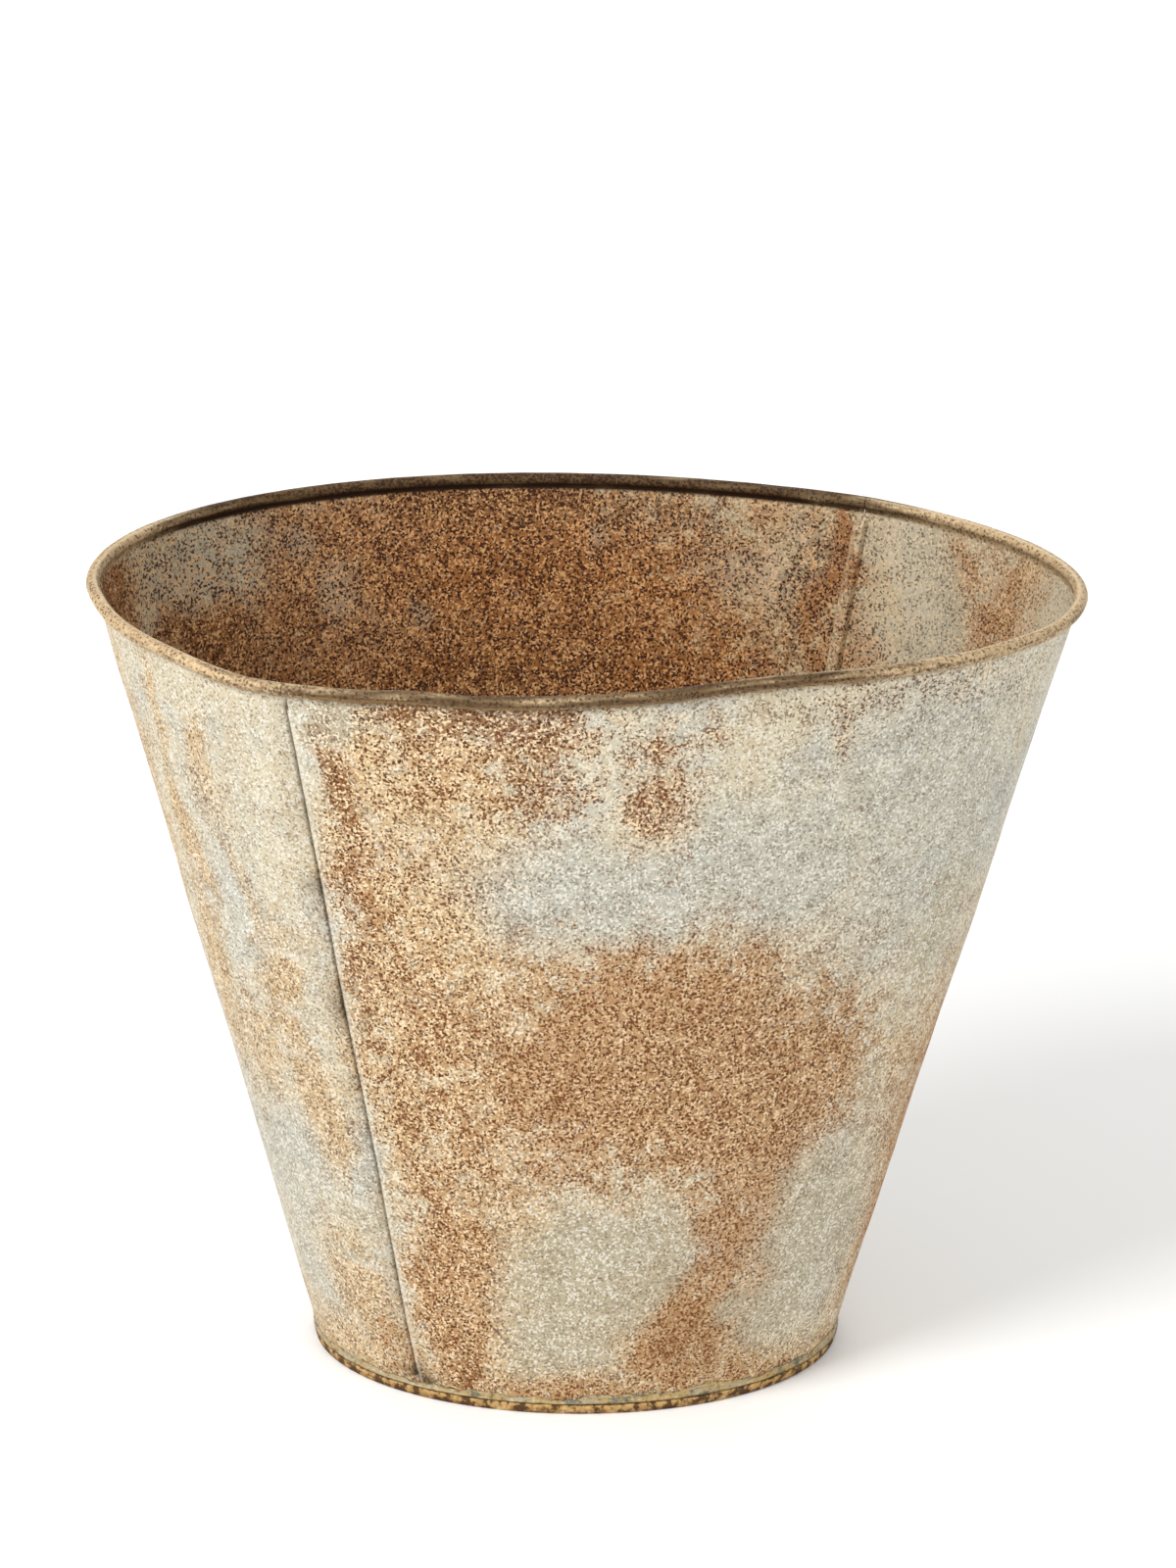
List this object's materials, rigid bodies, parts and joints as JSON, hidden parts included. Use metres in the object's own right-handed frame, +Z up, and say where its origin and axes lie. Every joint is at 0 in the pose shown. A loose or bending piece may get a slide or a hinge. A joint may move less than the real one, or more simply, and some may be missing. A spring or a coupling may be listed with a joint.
{
  "type": "florist bucket",
  "caption": "Flared oval bucket of weathered galvanised sheet steel for cut flowers, with a rolled rim over a wire, upright lock seams and a crimped base.",
  "frame": {"origin": "middle of the foot, on the surface that the bucket stands on", "axes": "+X along the long way of the oval, +Y across it towards the back, +Z up; the front seam is at -X -Y"},
  "size_m": [0.3994, 0.2654, 0.3396],
  "materials": {
    "weathered_zinc": "weathered galvanised zinc with rust stains, matt",
    "weathered_zinc_back": "weathered galvanised zinc with rust stains, matt",
    "rusted_base": "rusted galvanised steel, matt",
    "wire_steel": "plain drawn steel wire",
    "dull_solder": "dull grey solder with dirt"
  },
  "bodies": {
    "root": {"front_panel": "weathered_zinc", "back_panel": "weathered_zinc_back", "base_pan": "rusted_base", "rim_wire": "wire_steel", "base_solder": "dull_solder"}
  },
  "joints": []
}
